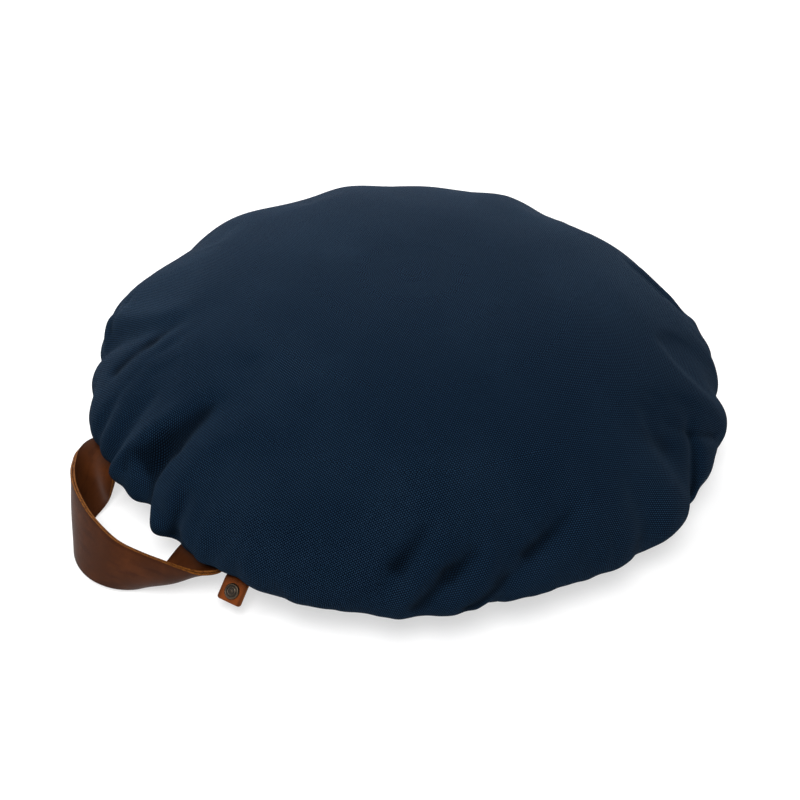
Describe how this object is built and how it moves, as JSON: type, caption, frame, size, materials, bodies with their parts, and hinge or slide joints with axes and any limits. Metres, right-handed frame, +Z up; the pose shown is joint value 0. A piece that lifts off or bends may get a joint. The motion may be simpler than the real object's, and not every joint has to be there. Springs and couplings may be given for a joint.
{
  "type": "round floor cushion",
  "caption": "Round stuffed floor cushion in plain woven cloth, with a leather carrying handle and a small snap tab sewn into its edge seam.",
  "frame": {"origin": "middle of the flat underside, at the level of the surface that the cushion rests on", "axes": "+Z is up, through the crown; -Y points from the middle of the cushion toward the handle; +X completes the right-handed frame and points to the side where the tab is"},
  "size_m": [0.5582, 0.6107, 0.16],
  "materials": {
    "cloth": "dark navy plain weave, matt with a faint pale sheen at grazing angles",
    "leather": "tan-brown vegetable-tanned leather, satin, with paler cut edges",
    "bronze": "antique dark bronze, dull, worn a little brighter on its rings"
  },
  "bodies": {
    "root": {"cushion": "cloth", "handle_outer_ply": "leather", "handle_inner_ply": "leather", "tab": "leather", "snap_cap": "bronze"}
  },
  "joints": []
}
